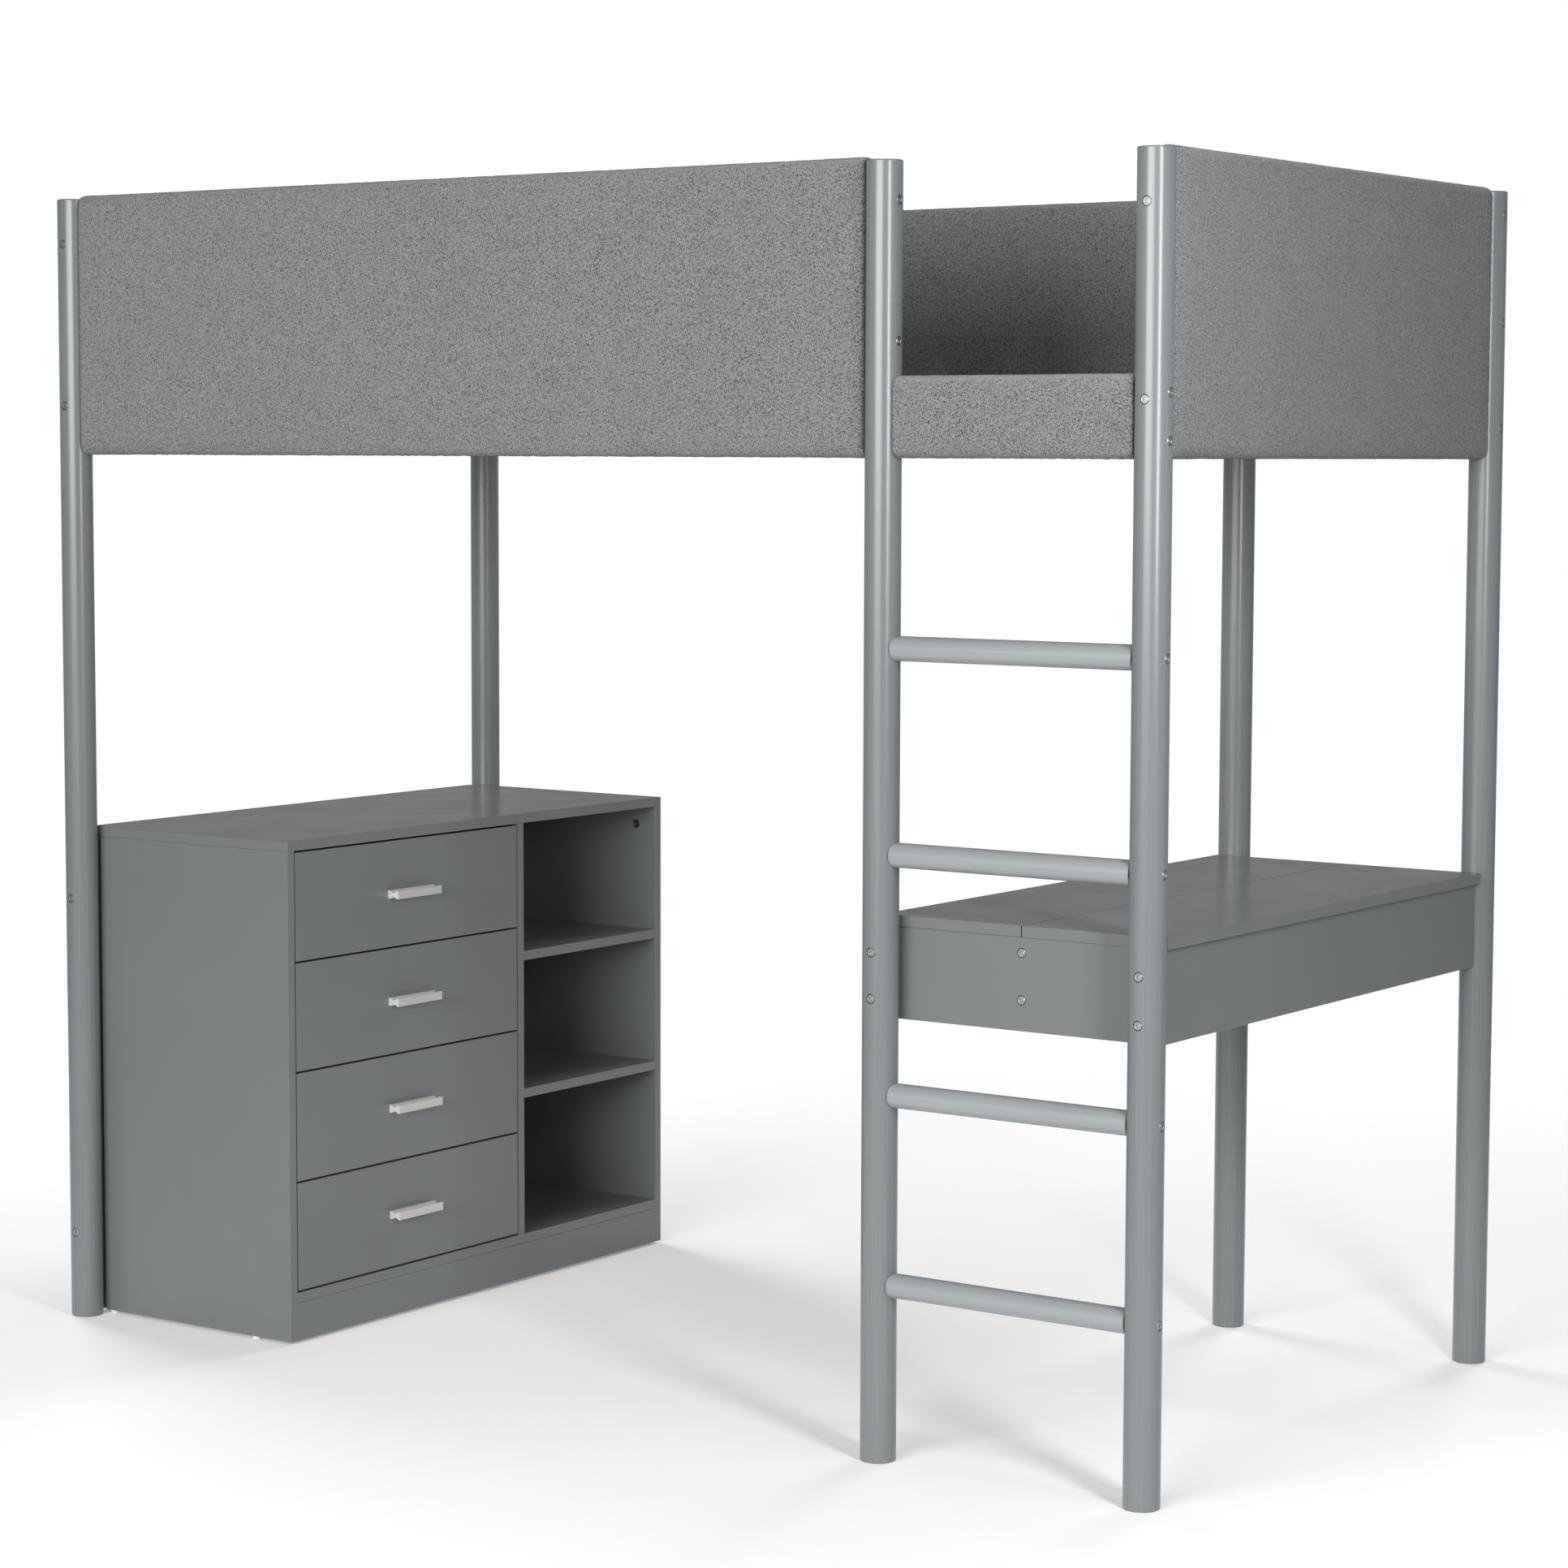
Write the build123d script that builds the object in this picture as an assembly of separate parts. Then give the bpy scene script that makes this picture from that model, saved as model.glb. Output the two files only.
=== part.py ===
from build123d import *
import os
from math import sqrt

# Loft bed with a desk under one end and a chest of drawers with shelves under the other.
# Millimetres. X runs along the bed from the chest to the desk, Y from the ladder side
# to the wall side, Z up from the floor. The origin is on the floor, under the middle.

# Driving dimensions: the frame of six round posts
POST_R = 25.4
POST_H = 1800.0
BED_LENGTH = 1970.0
BED_WIDTH = 1023.0
LADDER_WIDTH = 422.5
EASE = 2.0

X_LEFT = -BED_LENGTH / 2
X_RIGHT = BED_LENGTH / 2
X_MID = X_RIGHT - LADDER_WIDTH
Y_FRONT = -BED_WIDTH / 2
Y_REAR = BED_WIDTH / 2
Y_INSIDE = Y_REAR - POST_R

# Upholstered panels between the posts
PAD_T = 36.0
PAD_Z = (1396.0, 1804.0)
LOW_PAD_Z = (1396.0, 1507.0)
PAD_ROUND = 14.0
PAD_GAP = 0.4
CORE_T = 15.0
CORE_MARGIN = (6.0, 9.0)

# Mattress support
LEDGER = (25.0, 40.0)
LEDGER_Z = 1400.0
LEDGER_END_GAP = 25.0
SLAT = (68.0, 966.0, 12.0)
SLAT_COUNT = 12
SLAT_PITCH = 160.0

# Ladder
RUNG_R = 17.3
RUNG_Z = (250.5, 517.5, 852.0, 1136.5)

# Desk
DESK_TOP_Z = 765.5
BOARD_T = 16.0
DESK_OVERHANG = 16.0
DESK_SEAM = 1.6
APRON_T = 15.0
APRON_Z = (620.5, DESK_TOP_Z - BOARD_T)
APRON_INSET = 2.0
RIB_BASE_Z = 641.0

# Chest
CHEST_WIDTH = 969.0
CHEST_DEPTH = 406.0
CHEST_FRONT_X = -564.0
CHEST_BASE_Z = 5.0
CHEST_TOP_Z = 797.5
FLOOR_BOARD_Z = 65.5
DIVIDER_Y = 84.1
SHELF_Z = (314.0, 548.5)
BACK_T = 3.0
BACK_INSET = 8.0
END_BOARD_T = 15.0
POST_NOTCH = 12.0
GLIDE_R = 7.5
GLIDE_X = (-956.0, -643.0)

# Drawers
DRAWER_COUNT = 4
DRAWER_GAP = 3.0
DRAWER_SIDE_GAP = 2.5
BOX_T = 12.0
BOX_DEPTH = 350.0
BOX_H = 120.0
BOX_LIFT = 20.0
BOX_FLOOR = (8.0, 5.0)
RUNNER_GAP = 12.7
RUNNER_H = 36.0
RUNNER_T = 1.5
RUNNER_LIP = 9.0
SLIDER = (8.2, 26.0)
HANDLE = (21.0, 108.0, 13.0)
HANDLE_WAIST = (13.0, 3.2)

# Bolts: a flat round head sunk in a counterbore, with a hexagon socket
BOLT_R = 3.0
BOLT_GRIP = 40.0
BORE_R = 3.3
HEAD_R = 6.5
SEAT_R = 7.0
SEAT_DEPTH = 3.2
HEAD_SUNK = 1.0
RIB_HEAD_RAISE = 0.9
SOCKET_R = 2.9
SOCKET_DEPTH = 1.5
END_PANEL_BOLT_Z = (1474.0, 1729.0)
FRONT_PANEL_BOLT_Z = (1555.0, 1745.5)
REAR_PANEL_BOLT_Z = (1443.0, 1602.5, 1764.0)
LOW_PANEL_BOLT_Z = (1420.0, 1483.0)
END_BOARD_BOLT_Z = (139.0, 684.0)
APRON_BOLT_Z = (653.0, 717.5)
RIB_BOLT_Z = (663.0, 728.0)

SHARP = 0.8
POSTS = {
    "post_front_left": (X_LEFT, Y_FRONT),
    "post_front_mid": (X_MID, Y_FRONT),
    "post_front_right": (X_RIGHT, Y_FRONT),
    "post_rear_left": (X_LEFT, Y_REAR),
    "post_rear_mid": (X_MID, Y_REAR),
    "post_rear_right": (X_RIGHT, Y_REAR),
}


def block(x, y, z):
    """A plain block between the given limits."""
    size = Box(x[1] - x[0], y[1] - y[0], z[1] - z[0])
    return Pos(sum(x) / 2, sum(y) / 2, sum(z) / 2) * size


def board(x, y, z, ease=SHARP):
    """A block with its twelve edges slightly eased."""
    solid = block(x, y, z)
    return fillet(solid.edges(), ease)


def rod(start, end, radius):
    """A round bar from start to end."""
    plane = Plane(origin=start, z_dir=Vector(*end) - Vector(*start))
    length = (Vector(*end) - Vector(*start)).length
    return plane * Cylinder(radius, length, align=(Align.CENTER, Align.CENTER, Align.MIN))


def around(middle, width):
    """The limits of a width centred on middle."""
    return (middle - width / 2, middle + width / 2)


# A bolt is (point on the outer surface, outward direction, length under the surface).

def post_bolts(post, direction, heights):
    """Bolts through a post, at each height, into what stands behind it."""
    px, py = POSTS[post]
    out = Vector(*direction)
    length = 2 * POST_R + BOLT_GRIP
    return [(Vector(px, py, z) + out * POST_R, out, length) for z in heights]


LEFT, RIGHT, FRONT, REAR = (-1, 0, 0), (1, 0, 0), (0, -1, 0), (0, 1, 0)


def rib_bolts(side):
    """Bolts through a long desk apron into the end of the rib."""
    middle = (X_MID + X_RIGHT) / 2
    face = side * (Y_INSIDE - APRON_INSET + RIB_HEAD_RAISE)
    out = Vector(0, side, 0)
    return [(Vector(middle, face, z), out, APRON_T + BOLT_GRIP) for z in RIB_BOLT_Z]


BOLTS = {
    "left_end": post_bolts("post_front_left", FRONT, END_PANEL_BOLT_Z)
    + post_bolts("post_rear_left", REAR, END_PANEL_BOLT_Z),
    "right_end": post_bolts("post_front_right", FRONT, END_PANEL_BOLT_Z)
    + post_bolts("post_rear_right", REAR, END_PANEL_BOLT_Z),
    "front_long": post_bolts("post_front_left", LEFT, FRONT_PANEL_BOLT_Z)
    + post_bolts("post_front_mid", RIGHT, FRONT_PANEL_BOLT_Z),
    "front_low": post_bolts("post_front_right", RIGHT, LOW_PANEL_BOLT_Z),
    "rear_long": post_bolts("post_rear_left", LEFT, REAR_PANEL_BOLT_Z)
    + post_bolts("post_rear_mid", RIGHT, REAR_PANEL_BOLT_Z),
    "rear_short": post_bolts("post_rear_right", RIGHT, REAR_PANEL_BOLT_Z),
    "end_board": post_bolts("post_front_left", FRONT, END_BOARD_BOLT_Z)
    + post_bolts("post_rear_left", REAR, END_BOARD_BOLT_Z),
    "apron_left": post_bolts("post_front_mid", FRONT, APRON_BOLT_Z)
    + post_bolts("post_rear_mid", REAR, APRON_BOLT_Z),
    "apron_right": post_bolts("post_front_right", FRONT, APRON_BOLT_Z)
    + post_bolts("post_rear_right", REAR, APRON_BOLT_Z),
    "rib": rib_bolts(-1) + rib_bolts(1),
    "rungs": post_bolts("post_front_mid", LEFT, RUNG_Z)
    + post_bolts("post_front_right", RIGHT, RUNG_Z),
}


def bolt_solid(bolt):
    """One bolt: head, socket and shank."""
    point, out, length = bolt
    seat = point - out * SEAT_DEPTH
    top = point - out * HEAD_SUNK
    head = rod(tuple(seat), tuple(top), HEAD_R)
    shank = rod(tuple(point - out * length), tuple(seat), BOLT_R)
    socket_plane = Plane(origin=tuple(top - out * SOCKET_DEPTH), z_dir=out)
    socket = extrude(socket_plane * RegularPolygon(SOCKET_R, 6), SOCKET_DEPTH)
    return head + shank - socket


def drill(solid, bolts):
    """Cut each bolt's bore and counterbore."""
    for point, out, length in bolts:
        end = point - out * (length + 2 * EASE)
        seat = point - out * SEAT_DEPTH
        solid = solid - rod(tuple(end), tuple(point), BORE_R)
        solid = solid - rod(tuple(seat), tuple(point + out), SEAT_R)
    return solid


def post(name):
    """A round post with eased ends, bored for the bolts that cross it."""
    x, y = POSTS[name]
    solid = fillet(Cylinder(POST_R, POST_H).edges().filter_by(GeomType.CIRCLE), EASE)
    solid = Pos(x, y, POST_H / 2) * solid
    crossing = []
    for bolts in BOLTS.values():
        for bolt in bolts:
            if (bolt[0] - Vector(x, y, bolt[0].Z)).length < POST_R + 1:
                crossing.append(bolt)
    return drill(solid, crossing)


def span(start, end, inset):
    """The stretch between two posts' centres, less an inset at each end."""
    return (min(start, end) + inset, max(start, end) - inset)


def panel(first, second, heights, bolts):
    """The pad and the core board of the panel between two posts."""
    (x0, y0), (x1, y1) = POSTS[first], POSTS[second]
    cope = POST_R + PAD_GAP
    reach = sqrt(cope**2 - (PAD_T / 2) ** 2)
    core_z = (heights[0] + CORE_MARGIN[0], heights[1] - CORE_MARGIN[1])
    if y0 == y1:
        pad = block(span(x0, x1, reach), around(y0, PAD_T), heights)
        core = block(span(x0, x1, POST_R), around(y0, CORE_T), core_z)
        long_edges = pad.edges().filter_by(Axis.X)
    else:
        pad = block(around(x0, PAD_T), span(y0, y1, reach), heights)
        core = block(around(x0, CORE_T), span(y0, y1, POST_R), core_z)
        long_edges = pad.edges().filter_by(Axis.Y)
    pad = fillet(long_edges, PAD_ROUND) - core
    for x, y in ((x0, y0), (x1, y1)):
        pad = pad - rod((x, y, heights[0] - 1), (x, y, heights[1] + 1), cope)
    return pad, drill(core, bolts)


def ledgers():
    """Four battens along the inner faces of the long panels, under the slats' ends."""
    z = (LEDGER_Z, LEDGER_Z + LEDGER[1])
    far = Y_REAR - PAD_T / 2
    solids = []
    for y in ((far - LEDGER[0], far), (-far, LEDGER[0] - far)):
        for x in ((X_LEFT, X_MID), (X_MID, X_RIGHT)):
            solids.append(block(span(*x, LEDGER_END_GAP), y, z))
    return Compound(solids)


def slats():
    """Flat slats across the bed, resting on the ledgers."""
    z = LEDGER_Z + LEDGER[1] + SLAT[2] / 2
    first = -SLAT_PITCH * (SLAT_COUNT - 1) / 2
    return Compound([Pos(first + i * SLAT_PITCH, 0, z) * Box(*SLAT) for i in range(SLAT_COUNT)])


def rung(z, bolts):
    """A round rung, its ends coped to the posts."""
    solid = rod((X_MID, Y_FRONT, z), (X_RIGHT, Y_FRONT, z), RUNG_R)
    for x in (X_MID, X_RIGHT):
        solid = solid - rod((x, Y_FRONT, z - 2 * RUNG_R), (x, Y_FRONT, z + 2 * RUNG_R), POST_R)
    return drill(solid, bolts)


def desk_boards():
    """The two boards of the desk top, with a seam between them."""
    z = (DESK_TOP_Z - BOARD_T, DESK_TOP_Z)
    y = (-Y_INSIDE + PAD_GAP, Y_INSIDE - PAD_GAP)
    middle = (X_MID + X_RIGHT) / 2
    left = board((X_MID - DESK_OVERHANG, middle - DESK_SEAM / 2), y, z)
    right = board((middle + DESK_SEAM / 2, X_RIGHT + DESK_OVERHANG), y, z)
    return left, right


def apron_side(x, bolts):
    """A desk apron between a front and a rear post."""
    return drill(board(around(x, APRON_T), (-Y_INSIDE, Y_INSIDE), APRON_Z), bolts)


def apron_long(side):
    """The desk apron that joins the two side aprons, at the front (-1) or rear (1)."""
    face = side * (Y_INSIDE - APRON_INSET)
    y = sorted((face, face - side * APRON_T))
    return drill(board(span(X_MID, X_RIGHT, APRON_T / 2), y, APRON_Z), rib_bolts(side))


def rib():
    """The rib under the seam of the desk top."""
    y = Y_INSIDE - APRON_INSET - APRON_T
    solid = board(around((X_MID + X_RIGHT) / 2, APRON_T), (-y, y), (RIB_BASE_Z, APRON_Z[1]))
    return drill(solid, BOLTS["rib"])


# Limits shared by the chest's pieces
CHEST_Y = around(0.0, CHEST_WIDTH)
CHEST_REAR_X = CHEST_FRONT_X - CHEST_DEPTH
CHEST_X = (CHEST_REAR_X, CHEST_FRONT_X)
INNER_Y = (CHEST_Y[0] + BOARD_T, CHEST_Y[1] - BOARD_T)
UNDER_TOP_Z = CHEST_TOP_Z - BOARD_T
OVER_FLOOR_Z = FLOOR_BOARD_Z + BOARD_T
INNER_X = (CHEST_REAR_X + BACK_INSET + BACK_T, CHEST_FRONT_X)
BAY_Y = (INNER_Y[0], DIVIDER_Y)
SHELF_Y = (DIVIDER_Y + BOARD_T, INNER_Y[1])
END_BOARD_X = around(X_LEFT, END_BOARD_T)


def chest_top():
    """The top, which reaches back over the end board and is notched round the posts."""
    solid = block((END_BOARD_X[0], CHEST_FRONT_X), CHEST_Y, (UNDER_TOP_Z, CHEST_TOP_Z))
    for y in (CHEST_Y[0], CHEST_Y[1] - POST_NOTCH):
        notch = block((END_BOARD_X[0], CHEST_REAR_X), (y, y + POST_NOTCH), (UNDER_TOP_Z, CHEST_TOP_Z))
        solid = solid - notch
    return fillet(solid.edges(), SHARP)


def chest_side(y):
    """A side panel."""
    return board(CHEST_X, y, (CHEST_BASE_Z, UNDER_TOP_Z))


def glides():
    """Four round nail-on glides under the side panels."""
    solids = []
    for y in (CHEST_Y[0] + BOARD_T / 2, CHEST_Y[1] - BOARD_T / 2):
        for x in GLIDE_X:
            solids.append(rod((x, y, 0), (x, y, CHEST_BASE_Z), GLIDE_R))
    return Compound(solids)


def end_board():
    """The board between the two left posts, behind the chest."""
    solid = board(END_BOARD_X, (-Y_INSIDE, Y_INSIDE), (CHEST_BASE_Z, UNDER_TOP_Z))
    return drill(solid, BOLTS["end_board"])


def drawer_limits(number):
    """The limits in Z of a drawer's face, counted from the top."""
    height = (UNDER_TOP_Z - OVER_FLOOR_Z - (DRAWER_COUNT + 1) * DRAWER_GAP) / DRAWER_COUNT
    top = UNDER_TOP_Z - DRAWER_GAP - number * (height + DRAWER_GAP)
    return (top - height, top)


BOX_Y = (BAY_Y[0] + RUNNER_GAP, BAY_Y[1] - RUNNER_GAP)
FACE_BACK_X = CHEST_FRONT_X - BOARD_T
BOX_X = (FACE_BACK_X - BOX_DEPTH, FACE_BACK_X)


def drawer_face(number):
    """The inset face of a drawer."""
    y = (BAY_Y[0] + DRAWER_SIDE_GAP, BAY_Y[1] - DRAWER_SIDE_GAP)
    return board((FACE_BACK_X, CHEST_FRONT_X), y, drawer_limits(number))


def drawer_box(number):
    """Two sides, a back and a bottom, as separate boards behind the face."""
    low = drawer_limits(number)[0] + BOX_LIFT
    z = (low, low + BOX_H)
    inner_y = (BOX_Y[0] + BOX_T, BOX_Y[1] - BOX_T)
    floor_z = (low + BOX_FLOOR[0], low + sum(BOX_FLOOR))
    back_x = (BOX_X[0], BOX_X[0] + BOX_T)
    return Compound([
        block(BOX_X, (BOX_Y[0], inner_y[0]), z),
        block(BOX_X, (inner_y[1], BOX_Y[1]), z),
        block(back_x, inner_y, z),
        block((back_x[1], BOX_X[1]), inner_y, floor_z),
    ])


def drawer_handle(number):
    """A short bar pull of waisted section, flat against the face."""
    out, length, height = HANDLE
    chord, depth = HANDLE_WAIST
    middle_y = sum(BAY_Y) / 2
    middle_z = sum(drawer_limits(number)) / 2
    waist_x = CHEST_FRONT_X + out / 2
    radius = (chord**2 / 4 + depth**2) / (2 * depth)
    solid = block((CHEST_FRONT_X, CHEST_FRONT_X + out), around(middle_y, length),
                  around(middle_z, height))
    for side in (-1, 1):
        z = middle_z + side * (height / 2 - depth + radius)
        y = around(middle_y, length + 2)
        solid = solid - rod((waist_x, y[0], z), (waist_x, y[1], z), radius)
    return solid


def runner_z(number):
    """The middle height of a drawer's runners."""
    return drawer_limits(number)[0] + BOX_LIFT + BOX_H / 2


def sliders(number):
    """The drawer's own two bars, one on each side of its box."""
    z = around(runner_z(number), SLIDER[1])
    left = block(BOX_X, (BOX_Y[0] - SLIDER[0], BOX_Y[0]), z)
    right = block(BOX_X, (BOX_Y[1], BOX_Y[1] + SLIDER[0]), z)
    return Compound([left, right])


def channel(face_y, side, z):
    """A channel on a wall of the drawer bay, open towards the drawer."""
    x = (BOX_X[0] - RUNNER_GAP, BOX_X[1] - RUNNER_GAP / 2)
    outer = block(x, sorted((face_y, face_y + side * RUNNER_LIP)), around(z, RUNNER_H))
    hollow_y = sorted((face_y + side * RUNNER_T, face_y + side * (RUNNER_LIP + 1)))
    return outer - block(x, hollow_y, around(z, RUNNER_H - 2 * RUNNER_T))


def channels():
    """The eight fixed channels of the drawer bay."""
    solids = []
    for number in range(DRAWER_COUNT):
        for face_y, side in ((BAY_Y[0], 1), (BAY_Y[1], -1)):
            solids.append(channel(face_y, side, runner_z(number)))
    return Compound(solids)


def build():
    """Every sub-part, by node name."""
    nodes = {name: post(name) for name in POSTS}
    panels = {
        "front_long": ("post_front_left", "post_front_mid", PAD_Z),
        "front_low": ("post_front_mid", "post_front_right", LOW_PAD_Z),
        "left_end": ("post_front_left", "post_rear_left", PAD_Z),
        "right_end": ("post_front_right", "post_rear_right", PAD_Z),
        "rear_long": ("post_rear_left", "post_rear_mid", PAD_Z),
        "rear_short": ("post_rear_mid", "post_rear_right", PAD_Z),
    }
    for name, (first, second, heights) in panels.items():
        pad, core = panel(first, second, heights, BOLTS[name])
        nodes["pad_" + name] = pad
        nodes["core_" + name] = core
    nodes["bed_ledgers"] = ledgers()
    nodes["bed_slats"] = slats()
    for number, z in enumerate(RUNG_Z):
        nodes[f"ladder_rung_{number + 1}"] = rung(z, BOLTS["rungs"])
    nodes["desk_board_left"], nodes["desk_board_right"] = desk_boards()
    nodes["desk_apron_left"] = apron_side(X_MID, BOLTS["apron_left"])
    nodes["desk_apron_right"] = apron_side(X_RIGHT, BOLTS["apron_right"])
    nodes["desk_apron_front"] = apron_long(-1)
    nodes["desk_apron_rear"] = apron_long(1)
    nodes["desk_rib"] = rib()
    nodes["chest_top"] = chest_top()
    nodes["chest_side_front"] = chest_side((CHEST_Y[0], INNER_Y[0]))
    nodes["chest_side_rear"] = chest_side((INNER_Y[1], CHEST_Y[1]))
    nodes["chest_divider"] = board(INNER_X, (DIVIDER_Y, SHELF_Y[0]), (OVER_FLOOR_Z, UNDER_TOP_Z))
    nodes["chest_floor"] = board(CHEST_X, INNER_Y, (FLOOR_BOARD_Z, OVER_FLOOR_Z))
    nodes["chest_plinth"] = board((FACE_BACK_X, CHEST_FRONT_X), INNER_Y, (CHEST_BASE_Z, FLOOR_BOARD_Z))
    nodes["chest_back"] = block((INNER_X[0] - BACK_T, INNER_X[0]), INNER_Y, (OVER_FLOOR_Z, UNDER_TOP_Z))
    for name, z in zip(("lower", "upper"), SHELF_Z):
        nodes["chest_shelf_" + name] = board(INNER_X, SHELF_Y, (z, z + BOARD_T))
    nodes["chest_glides"] = glides()
    nodes["chest_channels"] = channels()
    nodes["end_board"] = end_board()
    for number in range(DRAWER_COUNT):
        prefix = f"drawer_{number + 1}_"
        nodes[prefix + "face"] = drawer_face(number)
        nodes[prefix + "box"] = drawer_box(number)
        nodes[prefix + "handle"] = drawer_handle(number)
        nodes[prefix + "sliders"] = sliders(number)
    every_bolt = [bolt_solid(bolt) for bolts in BOLTS.values() for bolt in bolts]
    nodes["frame_bolts"] = Compound(every_bolt)
    return nodes


os.makedirs("parts", exist_ok=True)
for node, shape in build().items():
    export_step(shape, f"parts/{node}.step")
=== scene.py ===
from math import cos, pi, radians, sin, sqrt

import bpy
from mathutils import Matrix, Vector, noise


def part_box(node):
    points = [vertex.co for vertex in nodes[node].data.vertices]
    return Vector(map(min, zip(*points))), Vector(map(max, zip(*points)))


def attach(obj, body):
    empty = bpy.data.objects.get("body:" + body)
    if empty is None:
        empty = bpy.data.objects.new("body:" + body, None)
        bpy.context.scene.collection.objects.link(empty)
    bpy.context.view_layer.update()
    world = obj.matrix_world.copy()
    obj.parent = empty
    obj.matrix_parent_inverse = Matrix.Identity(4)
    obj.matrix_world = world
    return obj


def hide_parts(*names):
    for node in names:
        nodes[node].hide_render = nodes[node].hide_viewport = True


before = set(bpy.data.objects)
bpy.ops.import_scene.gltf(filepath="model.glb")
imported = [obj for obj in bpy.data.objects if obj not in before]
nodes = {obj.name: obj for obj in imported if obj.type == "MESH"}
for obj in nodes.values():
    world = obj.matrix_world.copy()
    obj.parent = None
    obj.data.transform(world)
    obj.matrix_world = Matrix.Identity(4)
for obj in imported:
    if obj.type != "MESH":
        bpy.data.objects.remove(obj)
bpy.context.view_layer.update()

# Metres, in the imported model's own frame: X along the bed, Y from the ladder side to
# the wall side, Z up from the floor.

scene = bpy.context.scene

# Camera
CAMERA_AT = Vector((3.4571, -4.8790, 1.4054))
YAW, PITCH, ROLL = radians(35.004), radians(4.985), radians(0.177)
LENS, SENSOR = 87.61, 36.0
FARTHEST = 200.0

# Soft boxes: name, place, target, width and height, watts, seen in reflections. The two
# behind are kept out of reflections, or they whiten the tops seen at a low angle.
LIGHTS = (
    ("key", (0.7, -6.4, 2.1), (0.3, 0.0, 0.9), (4.2, 1.9), 315.0, True),
    ("side", (2.6, -1.5, 1.8), (0.5, -0.2, 1.1), (0.4, 1.3), 38.0, True),
    ("side_high", (3.4, -0.6, 3.4), (0.0, 0.0, 0.8), (1.2, 1.2), 14.0, True),
    ("top", (0.0, 0.0, 5.4), (0.0, 0.0, 0.0), (2.5, 2.5), 18.0, True),
    ("back_left", (-5.2, 1.6, 2.4), (-0.3, 0.2, 1.0), (2.6, 2.4), 200.0, False),
    ("back_right", (0.3, 5.8, 3.0), (0.3, 0.3, 1.0), (2.6, 2.4), 150.0, False),
)

# Brightness of the surroundings from straight down, 0, to straight up, 1
SKY = ((0.0, 0.05), (0.48, 0.25), (0.5, 0.46), (0.675, 0.05), (1.0, 0.05))

# Floor: half its width, where it starts and stops fading, its colour and its own light
FLOOR_HALF = 4.5
FLOOR_FADE = (1.1, 4.3)
FLOOR_GREY = 0.9
FLOOR_ROUGH = 0.9
FLOOR_GLOW = 0.19

# Paint: scales of its clouds and its orange peel, and the peel's share of the relief
CLOUD_SCALE = 2.5
PEEL_SCALE = 520.0
PEEL_SHARE = 0.35

# Fleece: colours
NAP_DARK = (0.240, 0.242, 0.246)
NAP_LIGHT = (0.275, 0.277, 0.281)
CLUMP = (0.200, 0.200, 0.201)
# Painted shade in the hollows between the curls, and a painted highlight on their
# crests
PAINTED_HOLLOW_SHADE = (0.062, 0.059, 0.055)
PAINTED_CREST_HIGHLIGHT = (0.52, 0.52, 0.515)
# Painted light on the faces turned up
PAINTED_TOP_LIGHT = (0.60, 0.60, 0.60)
FIBRE_LIGHT = (0.62, 0.62, 0.62)
FIBRE_DARK = (0.09, 0.088, 0.085)

# Fleece: sizes, as noise scales
WARP_SCALE = 480.0
WARP_REACH = 0.0021
CURL_SCALE = 580.0
GRAIN_SCALE = 650.0
CLUMP_SCALE = 120.0
NAP_SCALE = 14.0
FIBRE_SCALE = 1100.0
FIBRE_SHARE = 0.4
PILE_DEPTH = 0.003

# Fleece covers: shape at the start
POST_R = 0.0254
POST_CLEAR = 0.0008
END_REACH = POST_R * 0.7
START_SLACK = 0.0022
TOP_RISE = 0.0015
REAR_RISE = 0.0045
END_ROUND = 0.009
EDGE_ROUND = 0.014
EDGE_CELLS = 4

# Fleece covers: cloth and curls
SIM_FRAMES = 20
PRESSURE = 4.0
CLOTH_QUALITY = 4
HELD_NEAR_END = 0.012
SWELL = 0.0036
SWELL_LEAST = 0.85
SWELL_CHANGE = 0.3
SWELL_WAVES = 9.0
CURL_SIZE = 0.0045
CURL_HEIGHT = 0.0008

# Each cover: the posts it lies between, the axis it runs along, and its grid step
COVERS = {
    "pad_front_long": ("post_front_left", "post_front_mid", 0, 0.008),
    "pad_front_low": ("post_front_mid", "post_front_right", 0, 0.0045),
    "pad_rear_long": ("post_rear_left", "post_rear_mid", 0, 0.008),
    "pad_rear_short": ("post_rear_mid", "post_rear_right", 0, 0.0055),
    "pad_left_end": ("post_front_left", "post_rear_left", 1, 0.0065),
    "pad_right_end": ("post_front_right", "post_rear_right", 1, 0.0065),
}

# Rungs
SHARP_ANGLE = radians(35.0)
RUNGS = 4
RUNG_SIDES = 72
RUNG_RINGS = 12
RUNG_GAP = 0.0002
RUNG_SEAT = 0.022
RUNG_EASE = 0.0010

# Bolts: radius and rise of each ring, from the shank over the rim to the socket's floor
BOLT_SIDES = 24
SHANK_R = 0.003
HEAD_BEYOND = 0.005
SOCKET_RADII = (0.00285, 0.0027)
BOLT_OUTLINE = (
    (0.0030, -0.0030), (0.0062, -0.0030), (0.0062, -0.0007), (0.0060, -0.0003),
    (0.0056, 0.0), (0.0045, 0.0), (0.0042, -0.0003), (0.0037, -0.0003), (0.0034, 0.0),
    (0.00285, 0.0), (0.0027, -0.0015),
)
# Under each head's rim, a flat black ring: a painted shadow in the gap round the head
BOLT_SHADOW_OUTLINE = (
    (0.0031, -0.0019), (0.0068, -0.0019), (0.0068, -0.0022), (0.0031, -0.0022),
)

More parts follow.
